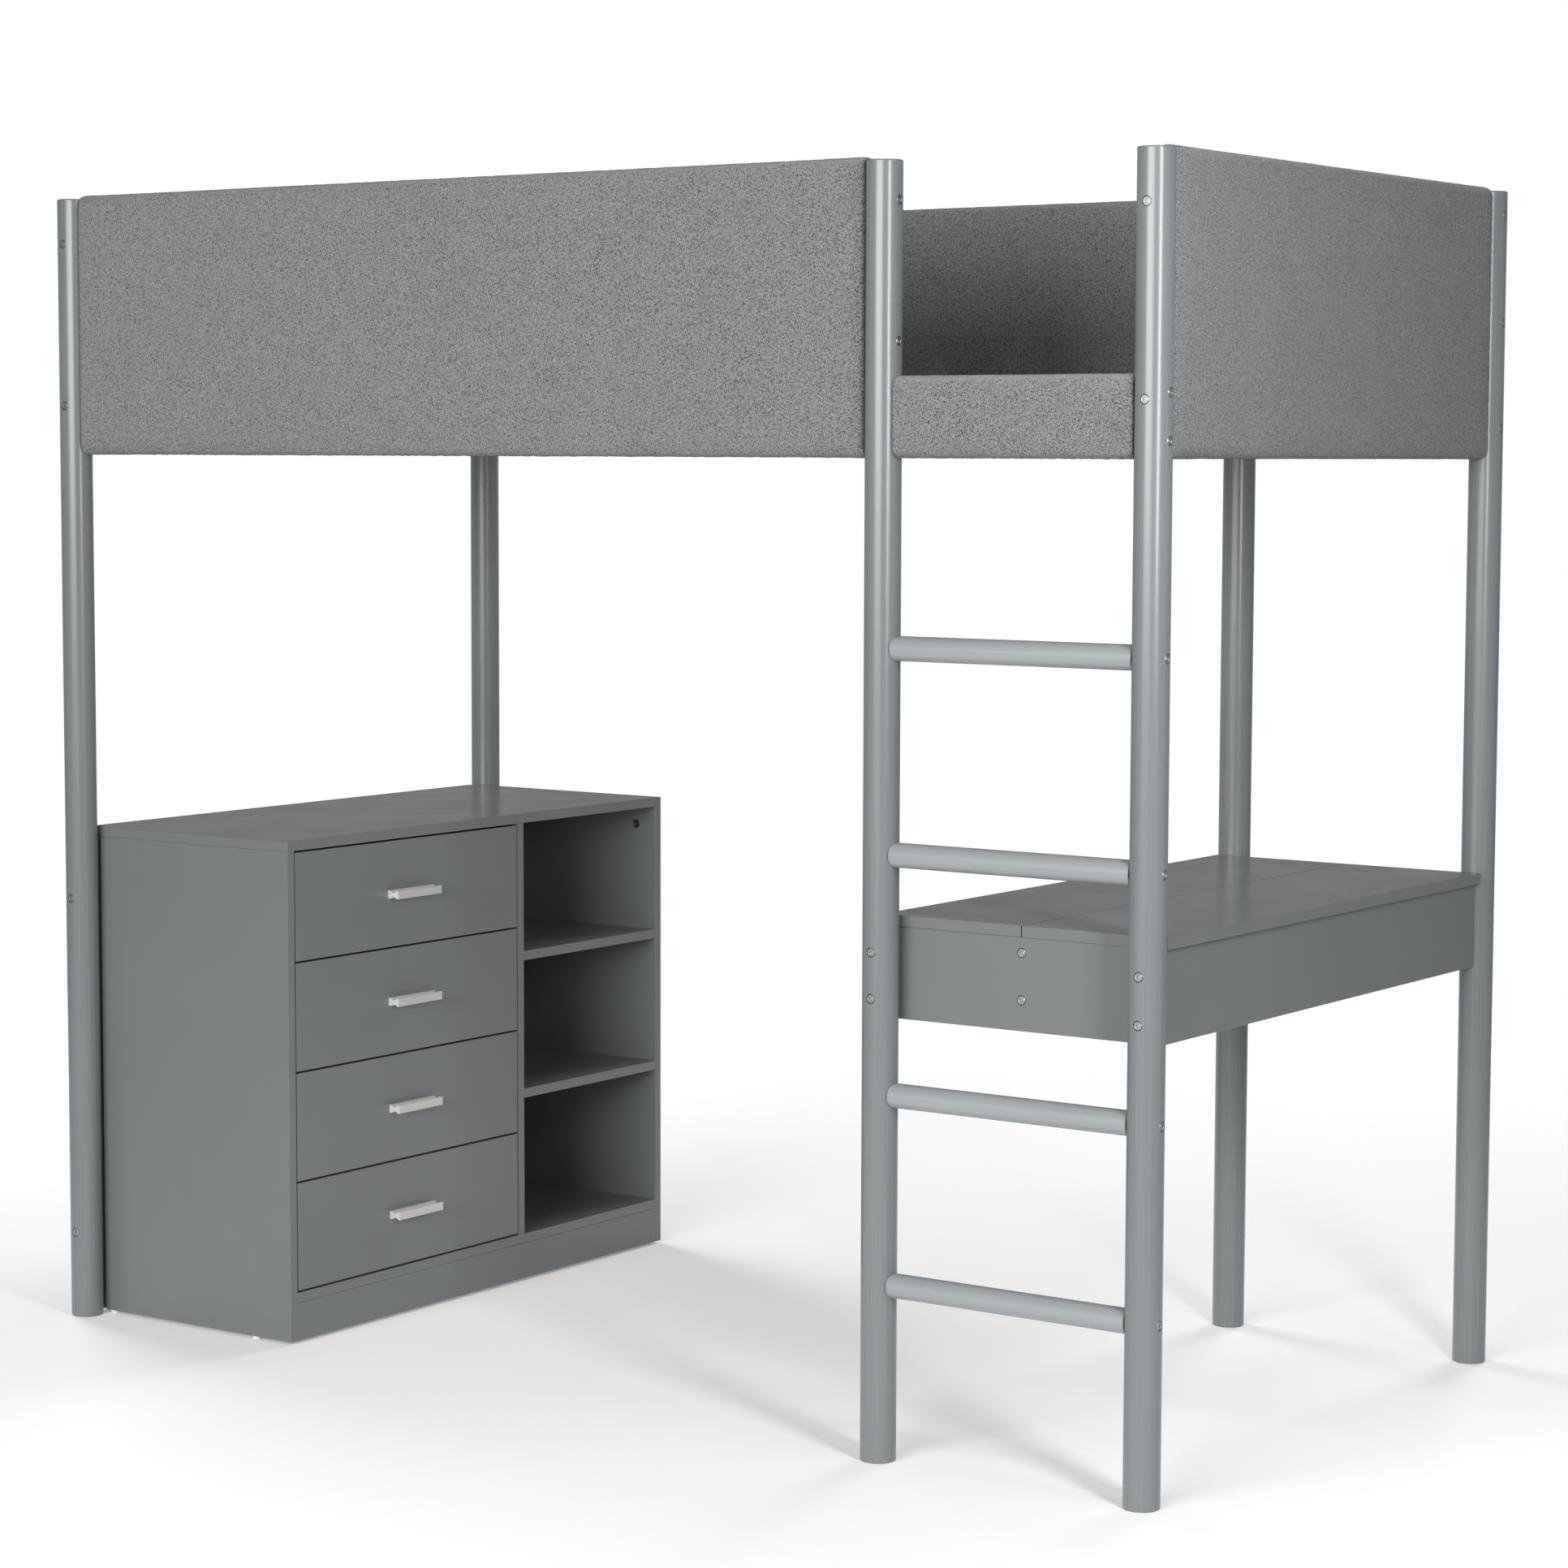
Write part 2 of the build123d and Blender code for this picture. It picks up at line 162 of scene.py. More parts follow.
# Cam: radius and how far each ring stands proud, and its place from the panel's corner
CAM_SIDES = 40
CAM_OUTLINE = (
    (0.0, 0.0009), (0.0022, 0.0009), (0.0024, -0.0003), (0.0031, -0.0003),
    (0.0033, 0.0006), (0.0056, 0.0006), (0.0061, 0.0010), (0.0071, 0.0010),
    (0.0075, 0.0006), (0.0075, -0.0012),
)
CAM_BACK = 0.042
CAM_DOWN = 0.0325


# Camera -------------------------------------------------------------------------------


def add_camera():
    """The camera at the viewing angle of the reference."""
    forward = Vector((-sin(YAW) * cos(PITCH), cos(YAW) * cos(PITCH), -sin(PITCH)))
    right = Vector((cos(YAW), sin(YAW), 0.0))
    up = right.cross(forward)
    side = right * cos(ROLL) + up * sin(ROLL)
    top = up * cos(ROLL) - right * sin(ROLL)
    data = bpy.data.cameras.new("camera")
    data.lens = LENS
    data.sensor_width = SENSOR
    data.clip_end = FARTHEST
    camera = bpy.data.objects.new("camera", data)
    columns = (side, top, -forward)
    turn = Matrix([[c[i] for c in columns] for i in range(3)])
    camera.matrix_world = Matrix.Translation(CAMERA_AT) @ turn.to_4x4()
    scene.collection.objects.link(camera)
    scene.camera = camera


# Lights, floor and backdrop -----------------------------------------------------------


def add_lights():
    """Soft boxes: a wide one on the ladder side, two on the desk side, one above, two
    behind."""
    for name, at, target, size, power, mirrored in LIGHTS:
        data = bpy.data.lights.new(name, "AREA")
        data.shape = "RECTANGLE"
        data.size, data.size_y = size
        data.energy = power
        light = bpy.data.objects.new(name, data)
        light.location = at
        aim = Vector(target) - Vector(at)
        light.rotation_euler = aim.to_track_quat("-Z", "Y").to_euler()
        light.visible_camera = False
        light.visible_glossy = mirrored
        scene.collection.objects.link(light)


def add_world():
    """Pale surroundings: bright round the horizon and darker overhead."""
    world = bpy.data.worlds.new("studio")
    scene.world = world
    world.use_nodes = True
    tree = world.node_tree
    tree.nodes.clear()
    seen = tree.nodes.new("ShaderNodeBackground")
    seen.inputs["Color"].default_value = (1.0, 1.0, 1.0, 1.0)
    lit = tree.nodes.new("ShaderNodeBackground")
    place = tree.nodes.new("ShaderNodeTexCoord")
    split = tree.nodes.new("ShaderNodeSeparateXYZ")
    ramp = tree.nodes.new("ShaderNodeValToRGB")
    stops = ramp.color_ramp.elements
    for _ in SKY[2:]:
        stops.new(0.5)
    for stop, (place_at, level) in zip(stops, SKY):
        stop.position = place_at
        stop.color = (level, level, level, 1.0)
    shift = tree.nodes.new("ShaderNodeMapRange")
    shift.inputs["From Min"].default_value = -1.0
    path = tree.nodes.new("ShaderNodeLightPath")
    mix = tree.nodes.new("ShaderNodeMixShader")
    out = tree.nodes.new("ShaderNodeOutputWorld")
    link = tree.links.new
    link(place.outputs["Generated"], split.inputs[0])
    link(split.outputs["Z"], shift.inputs["Value"])
    link(shift.outputs["Result"], ramp.inputs["Fac"])
    link(ramp.outputs["Color"], lit.inputs["Color"])
    link(path.outputs["Is Camera Ray"], mix.inputs[0])
    link(lit.outputs[0], mix.inputs[1])
    link(seen.outputs[0], mix.inputs[2])
    link(mix.outputs[0], out.inputs["Surface"])


def add_floor():
    """A plain pale floor that fades into the surroundings."""
    half = FLOOR_HALF
    mesh = bpy.data.meshes.new("floor")
    corners = [(-half, -half, 0), (half, -half, 0), (half, half, 0), (-half, half, 0)]
    mesh.from_pydata(corners, [], [(0, 1, 2, 3)])
    floor = bpy.data.objects.new("floor", mesh)
    scene.collection.objects.link(floor)
    mat, tree, shader = new_material("floor_pale")
    grey = (FLOOR_GREY, FLOOR_GREY, FLOOR_GREY, 1.0)
    shader.inputs["Base Color"].default_value = grey
    shader.inputs["Roughness"].default_value = FLOOR_ROUGH
    shader.inputs["Specular IOR Level"].default_value = 0.0
    shader.inputs["Emission Color"].default_value = (1.0, 1.0, 1.0, 1.0)
    shader.inputs["Emission Strength"].default_value = FLOOR_GLOW
    distance = tree.nodes.new("ShaderNodeVectorMath")
    distance.operation = "LENGTH"
    tree.links.new(coordinates(tree), distance.inputs[0])
    fade = remap(tree, distance.outputs["Value"], *FLOOR_FADE, 1.0, 0.0)
    tree.links.new(fade, shader.inputs["Alpha"])
    mesh.materials.append(mat)


# Materials ----------------------------------------------------------------------------


def new_material(name):
    """A new material with nodes, its tree and its shader."""
    mat = bpy.data.materials.new(name)
    mat.use_nodes = True
    return mat, mat.node_tree, mat.node_tree.nodes["Principled BSDF"]


def coordinates(tree, scale=(1.0, 1.0, 1.0)):
    """Object coordinates stretched by a scale on each axis, as a socket."""
    place = tree.nodes.new("ShaderNodeTexCoord")
    stretch = tree.nodes.new("ShaderNodeMapping")
    stretch.inputs["Scale"].default_value = scale
    tree.links.new(place.outputs["Object"], stretch.inputs["Vector"])
    return stretch.outputs["Vector"]


def facing(tree, axis):
    """How much the surface faces along one of the object's axes, as a socket."""
    place = tree.nodes.new("ShaderNodeTexCoord")
    split = tree.nodes.new("ShaderNodeSeparateXYZ")
    tree.links.new(place.outputs["Normal"], split.inputs[0])
    return split.outputs[axis]


def noise_node(tree, vector, size, detail, rough=0.5, distort=0.0):
    """A noise texture over coordinates."""
    node = tree.nodes.new("ShaderNodeTexNoise")
    node.inputs["Scale"].default_value = size
    node.inputs["Detail"].default_value = detail
    node.inputs["Roughness"].default_value = rough
    node.inputs["Distortion"].default_value = distort
    tree.links.new(vector, node.inputs["Vector"])
    return node


def even_noise(tree, size, detail, rough=0.5, distort=0.0):
    """Noise of the same size on every axis, as a socket from 0 to 1."""
    node = noise_node(tree, coordinates(tree), size, detail, rough, distort)
    return node.outputs["Fac"]


def drawn_noise(tree, scale, detail, rough, distort=0.0):
    """Noise with its own scale on each axis, as a socket from 0 to 1."""
    node = noise_node(tree, coordinates(tree, scale), 1.0, detail, rough, distort)
    return node.outputs["Fac"]


def cells_of(tree, vector, size):
    """The distance from the nearest cell's middle in a Voronoi texture, as a socket."""
    node = tree.nodes.new("ShaderNodeTexVoronoi")
    node.feature = "F1"
    node.inputs["Scale"].default_value = size
    tree.links.new(vector, node.inputs["Vector"])
    return node.outputs["Distance"]


def remap(tree, value, low, high, start=0.0, end=1.0):
    """A value moved from one range to another."""
    node = tree.nodes.new("ShaderNodeMapRange")
    node.inputs["From Min"].default_value = low
    node.inputs["From Max"].default_value = high
    node.inputs["To Min"].default_value = start
    node.inputs["To Max"].default_value = end
    tree.links.new(value, node.inputs["Value"])
    return node.outputs["Result"]


def feed(tree, socket, value):
    """Link a socket to an input, or set the input to a plain value."""
    if isinstance(value, bpy.types.NodeSocket):
        tree.links.new(value, socket)
    else:
        socket.default_value = value


def blend_colour(tree, factor, first, second):
    """A mix of two colours, each a socket or three numbers."""
    node = tree.nodes.new("ShaderNodeMix")
    node.data_type = "RGBA"
    tree.links.new(factor, node.inputs["Factor"])
    for socket, colour in ((node.inputs[6], first), (node.inputs[7], second)):
        feed(tree, socket, (*colour, 1.0) if isinstance(colour, tuple) else colour)
    return node.outputs[2]


def calculate(tree, first, second, kind="ADD"):
    """Two values through a math node."""
    node = tree.nodes.new("ShaderNodeMath")
    node.operation = kind
    for socket, value in zip(node.inputs, (first, second)):
        feed(tree, socket, value)
    return node.outputs[0]


def bump(tree, shader, height, distance):
    """Bump from a height in 0 to 1, that many metres deep."""
    node = tree.nodes.new("ShaderNodeBump")
    node.inputs["Distance"].default_value = distance
    node.inputs["Strength"].default_value = 1.0
    tree.links.new(height, node.inputs["Height"])
    tree.links.new(node.outputs["Normal"], shader.inputs["Normal"])


def painted(name, dark, light, streak, rough, bump_m, level):
    """Sprayed paint: faint streaks, larger clouds, and a fine uneven surface."""
    mat, tree, shader = new_material(name)
    streaks = drawn_noise(tree, streak, 3.0, 0.55)
    clouds = even_noise(tree, CLOUD_SCALE, 2.0)
    both = calculate(tree, calculate(tree, streaks, clouds), 0.5, "MULTIPLY")
    colour = blend_colour(tree, remap(tree, both, 0.32, 0.68), dark, light)
    gloss = remap(tree, streaks, 0.3, 0.7, *rough)
    tree.links.new(colour, shader.inputs["Base Color"])
    tree.links.new(gloss, shader.inputs["Roughness"])
    shader.inputs["Specular IOR Level"].default_value = level
    peel = even_noise(tree, PEEL_SCALE, 1.0, 0.4)
    height = calculate(tree, calculate(tree, peel, PEEL_SHARE, "MULTIPLY"), streaks)
    bump(tree, shader, height, bump_m)
    return mat


def fleece():
    """Short curly pile: small curls with painted shade between them and a painted
    highlight on their crests, and painted light on faces turned up, over faint
    changes of nap."""
    mat, tree, shader = new_material("fleece_grey")
    spot = coordinates(tree)
    warp = noise_node(tree, spot, WARP_SCALE, 1.0)
    move = tree.nodes.new("ShaderNodeVectorMath")
    move.operation = "MULTIPLY_ADD"
    tree.links.new(warp.outputs["Color"], move.inputs[0])
    move.inputs[1].default_value = (WARP_REACH, WARP_REACH, WARP_REACH)
    tree.links.new(spot, move.inputs[2])
    curls = remap(tree, cells_of(tree, move.outputs[0], CURL_SCALE), 0.12, 0.85)
    grains = even_noise(tree, GRAIN_SCALE, 3.0, 0.7, 0.3)
    relief = calculate(tree, calculate(tree, 1.0, curls, "SUBTRACT"), grains)
    clumps = even_noise(tree, CLUMP_SCALE, 2.0)
    nap = even_noise(tree, NAP_SCALE, 3.0, 0.55)
    fibres = even_noise(tree, FIBRE_SCALE, 1.0, 0.6)

    base = blend_colour(tree, remap(tree, nap, 0.35, 0.65), NAP_DARK, NAP_LIGHT)
    base = blend_colour(tree, remap(tree, clumps, 0.3, 0.7, 0.0, 0.30), base, CLUMP)
    # Painted shade in the hollows and a painted highlight on the crests, both from the
    # relief
    shade = blend_colour(tree, remap(tree, relief, 0.62, 1.02), PAINTED_HOLLOW_SHADE, base)
    shade = blend_colour(tree, remap(tree, relief, 1.04, 1.40), shade, PAINTED_CREST_HIGHLIGHT)
    for mask, colour in (
        # Painted light: paler on the faces turned up
        (remap(tree, facing(tree, "Z"), 0.35, 0.90, 0.0, 0.55), PAINTED_TOP_LIGHT),
        (remap(tree, fibres, 0.60, 0.80, 0.0, 0.6), FIBRE_LIGHT),
        (remap(tree, fibres, 0.42, 0.22, 0.0, 0.6), FIBRE_DARK),
    ):
        shade = blend_colour(tree, mask, shade, colour)
    tree.links.new(shade, shader.inputs["Base Color"])

    shader.inputs["Roughness"].default_value = 0.95
    shader.inputs["Specular IOR Level"].default_value = 0.1
    shader.inputs["Sheen Weight"].default_value = 0.45
    shader.inputs["Sheen Roughness"].default_value = 0.4
    pile = calculate(tree, fibres, FIBRE_SHARE, "MULTIPLY")
    bump(tree, shader, calculate(tree, relief, pile), PILE_DEPTH)
    return mat


def metal(name, dark, light, streak, rough):
    """Bright metal with fine drawn lines."""
    mat, tree, shader = new_material(name)
    lines = drawn_noise(tree, streak, 3.0, 0.6)
    tree.links.new(blend_colour(tree, lines, dark, light), shader.inputs["Base Color"])
    tree.links.new(remap(tree, lines, 0.3, 0.7, *rough), shader.inputs["Roughness"])
    shader.inputs["Metallic"].default_value = 1.0
    bump(tree, shader, lines, 0.00004)
    return mat


def handle_metal():
    """Satin alloy: a brushed front painted darker and browner as a painted reflection,
    and the sawn ends, top and underside painted paler as painted light.
    """
    mat, tree, shader = new_material("handle_alloy")
    lines = drawn_noise(tree, (900.0, 12.0, 900.0), 3.0, 0.6)
    # The front, facing along X, is painted darker and browner as a painted reflection;
    # the other faces are painted paler as painted light.
    front = blend_colour(tree, lines, (0.58, 0.565, 0.54), (0.66, 0.645, 0.62))
    painted_light_faces = blend_colour(tree, lines, (0.88, 0.88, 0.88), (0.94, 0.94, 0.94))
    mask = remap(tree, facing(tree, "X"), 0.55, 0.85)
    colour = blend_colour(tree, mask, painted_light_faces, front)
    tree.links.new(colour, shader.inputs["Base Color"])
    tree.links.new(remap(tree, lines, 0.3, 0.7, 0.32, 0.42), shader.inputs["Roughness"])
    shader.inputs["Metallic"].default_value = 0.45
    bump(tree, shader, lines, 0.00001)
    return mat


def wood(name, dark, light, grain):
    """Sawn softwood: growth rings drawn out along the piece, with fine fibres."""
    mat, tree, shader = new_material(name)
    rings = drawn_noise(tree, grain, 3.0, 0.6, 0.6)
    fibres = drawn_noise(tree, tuple(6.0 * g for g in grain), 2.0, 0.6)
    both = calculate(tree, calculate(tree, rings, fibres), 0.5, "MULTIPLY")
    colour = blend_colour(tree, remap(tree, both, 0.35, 0.65), dark, light)
    tree.links.new(colour, shader.inputs["Base Color"])
    tree.links.new(remap(tree, fibres, 0.3, 0.7, 0.5, 0.65), shader.inputs["Roughness"])
    bump(tree, shader, fibres, 0.0002)
    return mat


def plastic(name, dark, light):
    """Pale moulded plastic with a fine matt grain."""
    mat, tree, shader = new_material(name)
    grain = even_noise(tree, 900.0, 2.0)
    tree.links.new(blend_colour(tree, grain, dark, light), shader.inputs["Base Color"])
    tree.links.new(remap(tree, grain, 0.3, 0.7, 0.35, 0.5), shader.inputs["Roughness"])
    shader.inputs["Subsurface Weight"].default_value = 0.3
    shader.inputs["Subsurface Scale"].default_value = 0.003
    bump(tree, shader, grain, 0.00005)
    return mat


def make_materials():
    """One material for each slot of the record, and three more for the new pieces."""
    return {
        "post_paint": painted(
            "post_paint_grey", (0.168, 0.183, 0.188), (0.192, 0.208, 0.214),
            (520.0, 520.0, 2.0), (0.22, 0.30), 0.000018, 0.5,
        ),
        # The posts' grey paint streaked along the rung, and painted paler as painted
        # light: the light that falls on the rungs from above
        "rung_paint": painted(
            "rung_paint_grey", (0.270, 0.290, 0.301), (0.300, 0.321, 0.333),
            (2.5, 420.0, 420.0), (0.32, 0.42), 0.00002, 0.6,
        ),
        "board_paint": painted(
            "board_paint_grey", (0.160, 0.172, 0.175), (0.168, 0.180, 0.183),
            (9.0, 9.0, 5.0), (0.22, 0.27), 0.000012, 0.4,
        ),
        "box_board": painted(
            "box_board_grey", (0.16, 0.165, 0.168), (0.22, 0.225, 0.228),
            (40.0, 40.0, 300.0), (0.45, 0.6), 0.00004, 0.3,
        ),
        "hardboard": painted(
            "hardboard_grey", (0.12, 0.128, 0.13), (0.16, 0.168, 0.17),
            (300.0, 300.0, 300.0), (0.4, 0.55), 0.00005, 0.3,
        ),
        "fleece": fleece(),
        "core_wood": wood(
            "core_ply", (0.42, 0.28, 0.16), (0.62, 0.45, 0.28), (60.0, 60.0, 6.0)
        ),
        "pine": wood(
            "pine_sawn", (0.48, 0.31, 0.16), (0.70, 0.52, 0.31), (14.0, 70.0, 70.0)
        ),
        "bolt_steel": metal(
            "bolt_zinc", (0.36, 0.365, 0.375), (0.46, 0.465, 0.475),
            (400.0, 400.0, 400.0), (0.36, 0.48),
        ),
        "runner_steel": metal(
            "runner_zinc", (0.52, 0.53, 0.54), (0.74, 0.75, 0.76),
            (20.0, 600.0, 600.0), (0.28, 0.42),
        ),
        "handle_metal": handle_metal(),
        # Near black, for the painted shadow ring under each bolt head
        "bolt_seat": metal(
            "bolt_painted_shadow", (0.02, 0.02, 0.02), (0.05, 0.05, 0.05),
            (300.0, 300.0, 300.0), (0.6, 0.8),
        ),
        "cam": metal(
            "cam_bronze", (0.13, 0.10, 0.08), (0.24, 0.19, 0.15),
            (300.0, 300.0, 300.0), (0.35, 0.5),
        ),
        "glide_plastic": plastic(
            "glide_plastic_pale", (0.62, 0.63, 0.62), (0.78, 0.79, 0.78)
        ),
    }


# Fleece covers ------------------------------------------------------------------------


def spread(low, high, step):
    """Evenly spaced numbers from low to high, about a step apart."""
    count = max(1, round((high - low) / step))
    return [low + (high - low) * i / count for i in range(count + 1)]


def rounded(point, half, radius):
    """A point of a box moved onto that box with its edges rounded."""
    core = [max(-(h - r), min(h - r, p)) for p, h, r in zip(point, half, radius)]
    off = [(p - c) / r for p, c, r in zip(point, core, radius)]
    length = sqrt(sum(o * o for o in off))
    if length < 1e-9:
        return tuple(point)
    return tuple(c + r * o / length for c, r, o in zip(core, radius, off))


def slab_grid(half, radius, step):
    """The points and faces of a rounded box cut into a regular grid."""
    lines = [
        spread(-half[0], half[0], step),
        spread(-half[1], half[1], 2 * half[1] / EDGE_CELLS),
        spread(-half[2], half[2], step),
    ]
    index, points, faces = {}, [], []

    def point(i, j, k):
        key = (i, j, k)
        if key not in index:
            index[key] = len(points)
            raw = (lines[0][i], lines[1][j], lines[2][k])
            points.append(rounded(raw, half, radius))
        return index[key]

    sizes = [len(line) - 1 for line in lines]
    for axis in range(3):
        a, b = (axis + 1) % 3, (axis + 2) % 3
        for side in (0, sizes[axis]):
            for m in range(sizes[a]):
                for n in range(sizes[b]):
                    loop = []
                    for dm, dn in ((0, 0), (1, 0), (1, 1), (0, 1)):
                        at = [0, 0, 0]
                        at[axis], at[a], at[b] = side, m + dm, n + dn
                        loop.append(point(*at))
                    faces.append(loop if side else loop[::-1])
    return points, faces


def clear_of_posts(co, along, posts):
    """A point moved along the pad until it is outside both posts it lies between."""
    radius = POST_R + POST_CLEAR
    for post in posts:
        across = co[1 - along] - post[1 - along]
        if abs(across) >= radius:
            continue
        reach = sqrt(radius * radius - across * across)
        away = 1.0 if post is posts[0] else -1.0
        if (co[along] - post[along]) * away < reach:
            co[along] = post[along] + away * reach
    return co


def simulate(piece, start):
    """Inflate a closed cover as cloth, hold back how far each point moves, and apply
    it."""
    cloth = piece.modifiers.new("cloth", "CLOTH")
    cloth.settings.use_pressure = True
    cloth.settings.uniform_pressure_force = PRESSURE
    cloth.settings.effector_weights.gravity = 0.0
    cloth.settings.quality = CLOTH_QUALITY
    cloth.settings.vertex_group_mass = "held"
    cloth.point_cache.frame_start = 1
    cloth.point_cache.frame_end = SIM_FRAMES
    for number in range(1, SIM_FRAMES + 1):
        scene.frame_set(number)
    ready = piece.evaluated_get(bpy.context.evaluated_depsgraph_get())
    moved = [v.co.copy() for v in ready.data.vertices]
    piece.modifiers.clear()
    scene.frame_set(1)
    outward = [v.normal.copy() for v in piece.data.vertices]
    for vertex, end, first, out in zip(piece.data.vertices, moved, start, outward):
        step = end - first
        sunk = min(0.0, step.dot(out))
        step -= sunk * out
        cap = SWELL * (SWELL_LEAST + SWELL_CHANGE * noise.noise(first * SWELL_WAVES))
        if step.length > cap:
            step *= cap / step.length
        vertex.co = first + step


def curl(piece, along, posts):
    """Raise and lower the surface in small curls, clear of the posts."""
    mesh = piece.data
    normals = [v.normal.copy() for v in mesh.vertices]
    for vertex, normal in zip(mesh.vertices, normals):
        lift = noise.noise(vertex.co / CURL_SIZE) + 0.5 * noise.noise(
            vertex.co / (0.5 * CURL_SIZE)
        )
        co = vertex.co + normal * lift * CURL_HEIGHT
        vertex.co = clear_of_posts(co, along, posts)


def fleece_cover(node, posts, along, step, material):
    """The padded cover of one panel, between two posts, in the place of its CAD pad."""
    low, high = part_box(node)
    high.z += REAR_RISE if node.startswith("pad_rear") else TOP_RISE
    middle = (low + high) / 2
    ends = (posts[0][along] + END_REACH, posts[1][along] - END_REACH)
    half = (
        (ends[1] - ends[0]) / 2,
        (high - low)[1 - along] / 2 - START_SLACK,
        (high - low)[2] / 2,
    )
    points, faces = slab_grid(half, (END_ROUND, EDGE_ROUND, EDGE_ROUND), step)
    placed = []
    for s, t, z in points:
        co = Vector((s, t, z)) if along == 0 else Vector((-t, s, z))
        placed.append(clear_of_posts(co + middle, along, posts))
    mesh = bpy.data.meshes.new(node.replace("pad", "fleece"))
    mesh.from_pydata([tuple(p) for p in placed], [], faces)
    mesh.update()
    piece = bpy.data.objects.new(mesh.name, mesh)
    scene.collection.objects.link(piece)
    held = piece.vertex_groups.new(name="held")
    near = [
        i for i, p in enumerate(placed)
        if min(abs(p[along] - e) for e in ends) < HELD_NEAR_END
    ]
    held.add(near, 1.0, "REPLACE")
    simulate(piece, placed)
    finer = piece.modifiers.new("finer", "SUBSURF")
    finer.levels = finer.render_levels = 1
    ready = piece.evaluated_get(bpy.context.evaluated_depsgraph_get())
    smooth = bpy.data.meshes.new_from_object(ready)
    piece.modifiers.clear()
    piece.data = smooth
    curl(piece, along, posts)
    for polygon in smooth.polygons:
        polygon.use_smooth = True
    smooth.materials.clear()
    smooth.materials.append(material)
    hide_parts(node)
    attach(piece, "frame")


def axis_of(node):
    """The middle of a post."""
    low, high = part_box(node)
    return (low + high) / 2


def add_fleece(materials):
    """All six covers."""
    for node, (first, second, along, step) in COVERS.items():
        posts = (axis_of(first), axis_of(second))
        fleece_cover(node, posts, along, step, materials["fleece"])


# Rungs, bolts and the cam -------------------------------------------------------------


def mesh_piece(name, points, faces, material):
    """A new piece made from points and faces, smooth but for its sharp edges."""
    mesh = bpy.data.meshes.new(name)
    mesh.from_pydata(points, [], faces)
    mesh.update()
    mesh.materials.append(material)
    for polygon in mesh.polygons:
        polygon.use_smooth = True
    mesh.set_sharp_from_angle(angle=SHARP_ANGLE)
    piece = bpy.data.objects.new(name, mesh)
    scene.collection.objects.link(piece)
    return piece


def bridge(rows):
    """Faces between equal rows of points, each row a loop."""
    faces = []
    for first, second in zip(rows, rows[1:]):
        count = len(first)
        for i in range(count):
            j = (i + 1) % count
            faces.append((first[i], first[j], second[j], second[i]))
    return faces


def turns(sides):
    """The angles of a ring's points."""
    return [2 * pi * i / sides for i in range(sides)]


def add_rungs(materials):
    """The four round rungs, each end fitted to its post and eased."""
    left, right = axis_of("post_front_mid"), axis_of("post_front_right")
    for number in range(1, RUNGS + 1):
        node = f"ladder_rung_{number}"
        low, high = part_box(node)
        radius, height = (high.z - low.z) / 2, (high.z + low.z) / 2
        points, rows = [], []
        inner = [(i / RUNG_RINGS, RUNG_EASE, 1.0) for i in range(RUNG_RINGS + 1)]
        eased = 1.0 - RUNG_EASE / radius
        for part, inset, scale in [(0.0, 0.0, eased), *inner, (1.0, 0.0, eased)]:
            row = []
            for turn in turns(RUNG_SIDES):
                y, z = scale * radius * sin(turn), scale * radius * cos(turn)
                reach = max(sqrt(POST_R**2 - y * y) + RUNG_GAP, RUNG_SEAT) + inset
                start, end = left.x + reach, right.x - reach
                row.append(len(points))
                points.append((start + (end - start) * part, left.y + y, height + z))
            rows.append(row)
        faces = bridge(rows)
        faces.append(tuple(rows[0]))
        faces.append(tuple(reversed(rows[-1])))
        piece = mesh_piece(f"rung_{number}", points, faces, materials["rung_paint"])
        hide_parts(node)
        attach(piece, "frame")


def islands(mesh):
    """The separate solids of a mesh, each as a list of points."""
    near = {v.index: v.index for v in mesh.vertices}

    def root(i):
        while near[i] != i:
            near[i] = near[near[i]]
            i = near[i]
        return i

    same = {}
    for vertex in mesh.vertices:
        key = tuple(round(c, 5) for c in vertex.co)
        near[root(vertex.index)] = root(same.setdefault(key, vertex.index))
    for edge in mesh.edges:
        near[root(edge.vertices[0])] = root(edge.vertices[1])
    groups = {}
    for vertex in mesh.vertices:
        groups.setdefault(root(vertex.index), []).append(vertex.co.copy())
    return list(groups.values())


def bolt_frame(points):
    """Where a bolt's head ends, the way it faces, and its length."""
    low = Vector([min(p[i] for p in points) for i in range(3)])
    high = Vector([max(p[i] for p in points) for i in range(3)])
    size, middle = high - low, (high + low) / 2
    axis = max(range(3), key=lambda i: size[i])
    across = [i for i in range(3) if i != axis]
    wide = [
        p[axis] for p in points
        if sqrt(sum((p[i] - middle[i]) ** 2 for i in across)) > HEAD_BEYOND
    ]
    side = 1.0 if sum(wide) / len(wide) > middle[axis] else -1.0
    out = Vector([side if i == axis else 0.0 for i in range(3)])
    return middle + out * size[axis] / 2, out, size[axis]


def hexagon(turn, radius):
    """The radius of a hexagon in a direction, for a corner radius."""
    part = (turn + pi / 6) % (pi / 3) - pi / 6
    return radius * cos(pi / 6) / cos(part)


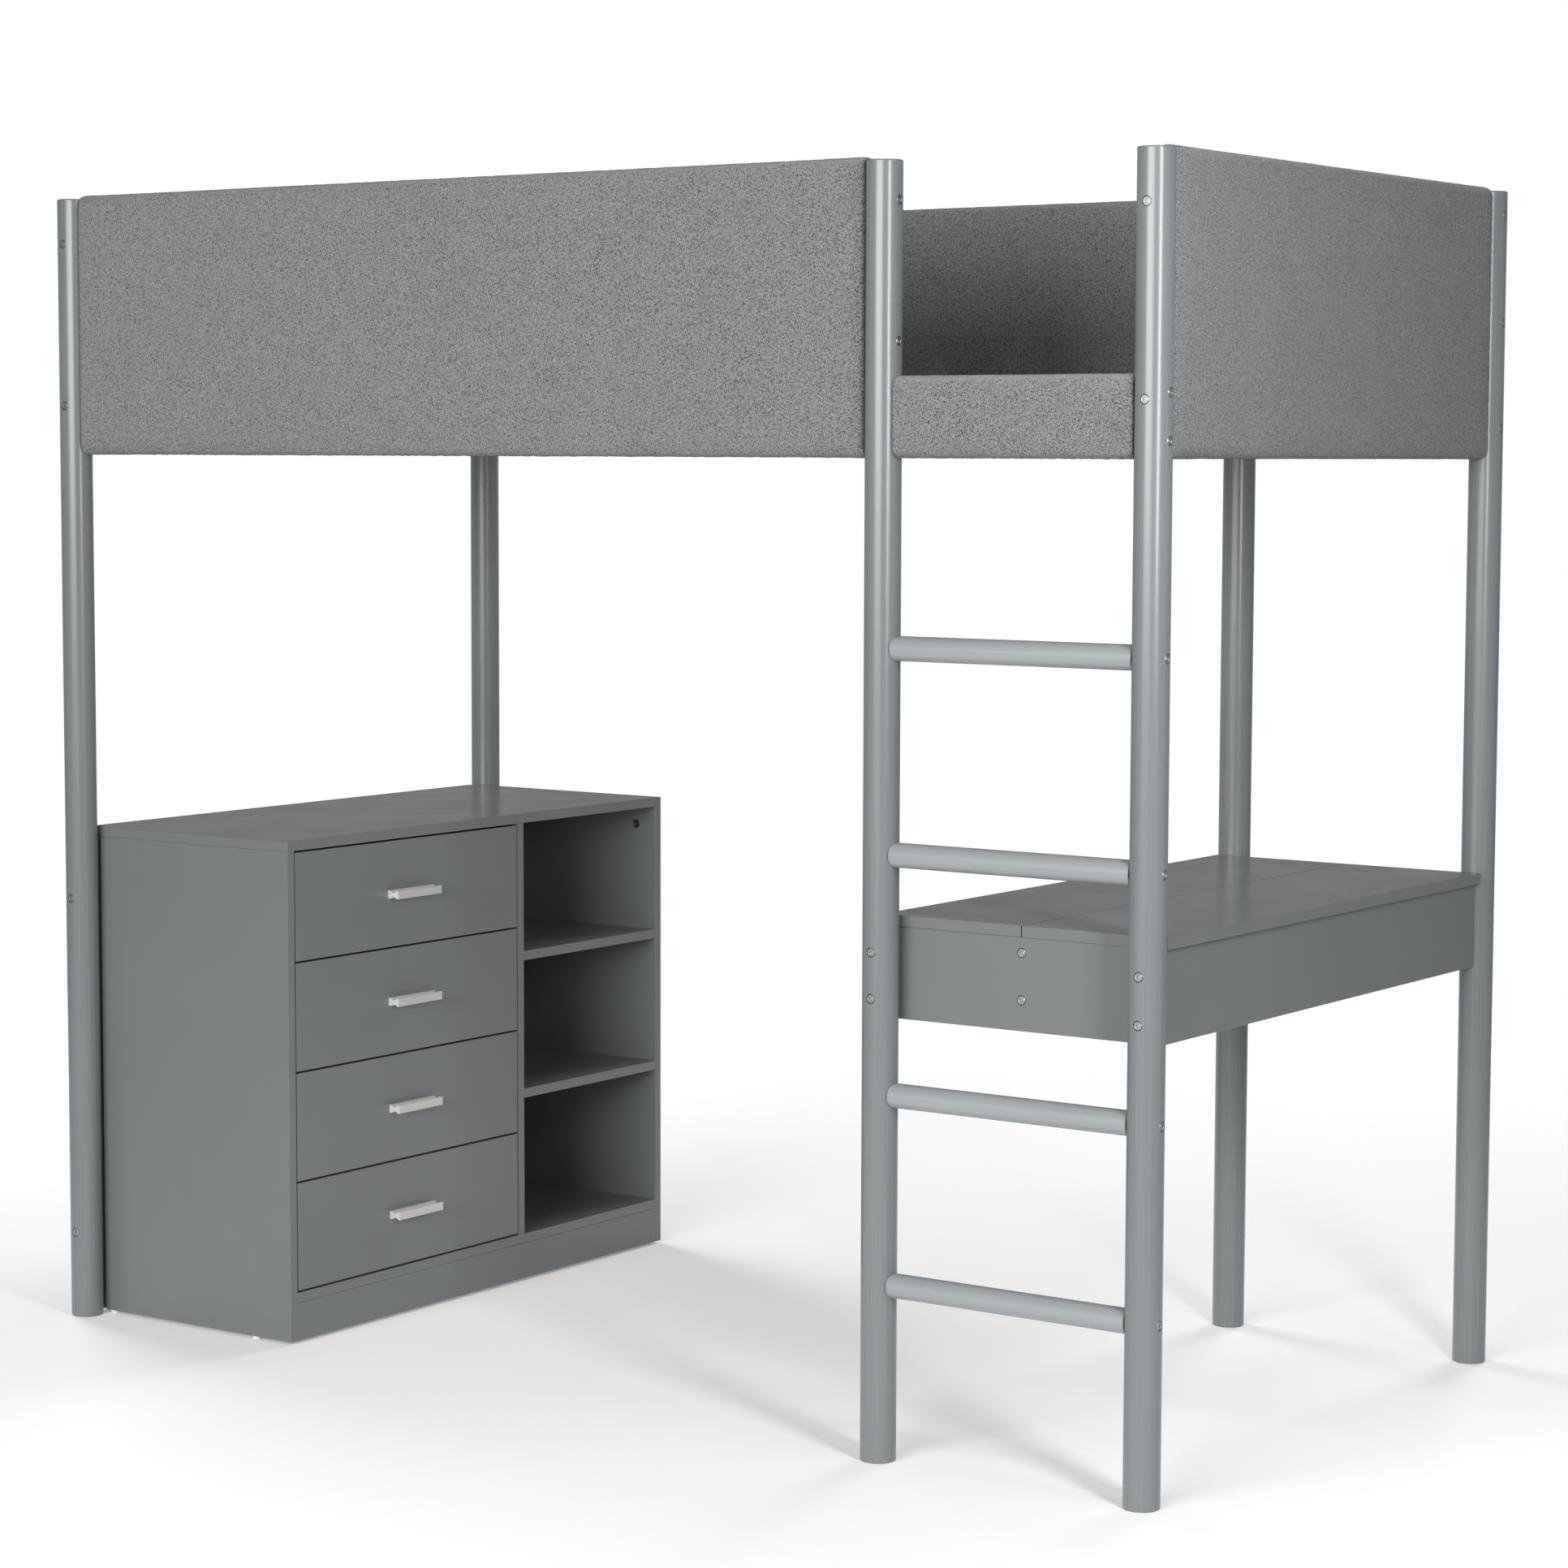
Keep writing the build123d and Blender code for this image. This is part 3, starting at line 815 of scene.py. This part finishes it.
def add_bolts(materials):
    """All bolts: dished heads with an eased rim and a socket, over a flat black ring
    that is a painted shadow round each head.
    """
    points, faces, dark = [], [], []
    for solid in islands(nodes["frame_bolts"].data):
        top, out, length = bolt_frame(solid)
        first = out.orthogonal().normalized()
        second = out.cross(first)
        for outline in (((SHANK_R, -length), *BOLT_OUTLINE), BOLT_SHADOW_OUTLINE):
            rows = []
            for radius, rise in outline:
                row = []
                for turn in turns(BOLT_SIDES):
                    reach = hexagon(turn, radius) if radius in SOCKET_RADII else radius
                    ray = cos(turn) * first + sin(turn) * second
                    row.append(len(points))
                    points.append(tuple(top + out * rise + reach * ray))
                rows.append(row)
            start = len(faces)
            faces.extend(bridge(rows))
            if outline is BOLT_SHADOW_OUTLINE:
                dark.extend(range(start, len(faces)))
                continue
            faces.append(tuple(reversed(rows[0])))
            faces.append(tuple(rows[-1]))
    piece = mesh_piece("bolts", points, faces, materials["bolt_steel"])
    piece.data.materials.append(materials["bolt_seat"])
    # The ring's faces take the painted shadow
    for number in dark:
        piece.data.polygons[number].material_index = 1
    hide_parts("frame_bolts")
    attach(piece, "frame")


def add_cam(materials):
    """The round cam let into the rear side panel of the chest, near its top."""
    low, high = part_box("chest_side_rear")
    centre = Vector((high.x - CAM_BACK, low.y, high.z - CAM_DOWN))
    points, rows = [], []
    for radius, proud in CAM_OUTLINE:
        row = []
        for turn in turns(CAM_SIDES):
            row.append(len(points))
            ray = Vector((radius * cos(turn), -proud, radius * sin(turn)))
            points.append(tuple(centre + ray))
        rows.append(row)
    faces = bridge(rows)
    faces.append(tuple(reversed(rows[-1])))
    piece = mesh_piece("chest_cam", points, faces, materials["cam"])
    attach(piece, "frame")


# Finishes on the CAD parts ------------------------------------------------------------


def finish_nodes(materials):
    """Give every CAD node the finish of its slot."""
    for node in nodes.values():
        for held in node.material_slots:
            held.material = materials[held.material.name.split(".")[0]]


def main():
    scene.view_settings.view_transform = "Standard"
    add_camera()
    add_world()
    add_lights()
    add_floor()
    materials = make_materials()
    finish_nodes(materials)
    add_rungs(materials)
    add_bolts(materials)
    add_cam(materials)
    add_fleece(materials)


main()
